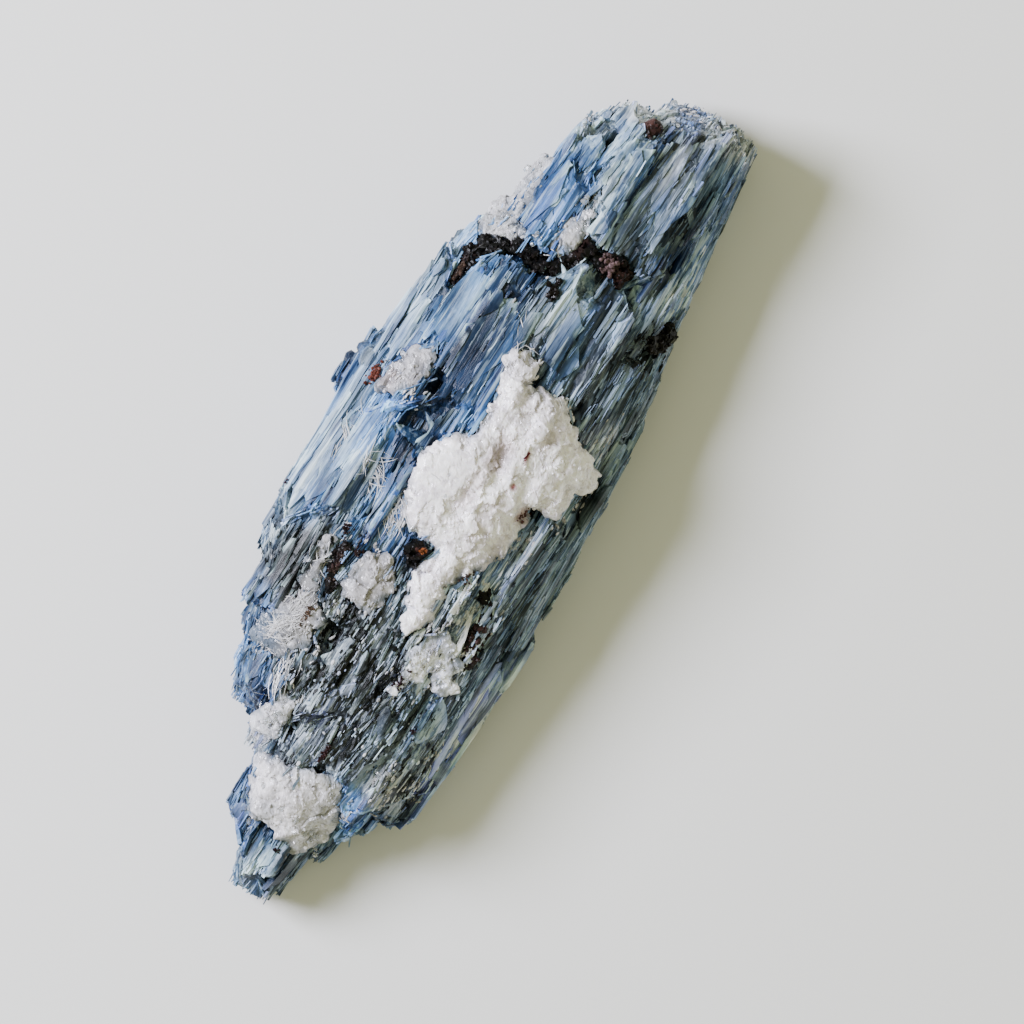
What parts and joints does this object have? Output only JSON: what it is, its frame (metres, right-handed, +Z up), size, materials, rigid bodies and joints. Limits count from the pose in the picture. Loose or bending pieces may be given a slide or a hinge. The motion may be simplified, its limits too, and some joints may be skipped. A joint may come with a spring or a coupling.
{
  "type": "kyanite blade cluster",
  "caption": "Long raw sheaf of intergrown blue kyanite blades with white granular quartz masses and dark garnet seams, lying on its flat underside.",
  "frame": {"origin": "the middle of the bounding box's base, on the surface that the cluster lies on", "axes": "+X along the blades from the narrow foot to the broad head, +Y across the blades, +Z up from the flat underside"},
  "size_m": [0.1461, 0.0503, 0.03],
  "materials": {
    "kyanite": "bladed crystal with a silky lustre on its cleavage faces, deep blue to pale blue and grey",
    "quartz": "granular, translucent bone white, glassy on fresh grain faces",
    "garnet": "dark red-brown to black crystalline crust with a glassy sparkle"
  },
  "bodies": {
    "root": {"kyanite_blades": "kyanite", "quartz_heart": "quartz", "quartz_tail": "quartz", "quartz_waist": "quartz", "quartz_nest": "quartz", "quartz_foot": "quartz", "quartz_heel": "quartz", "quartz_patch": "quartz", "quartz_notch": "quartz", "quartz_shoulder": "quartz", "garnet_seam": "garnet", "garnet_streak": "garnet", "garnet_stripe": "garnet", "garnet_blotch": "garnet", "garnet_grain": "garnet", "garnet_speck": "garnet"}
  },
  "joints": []
}
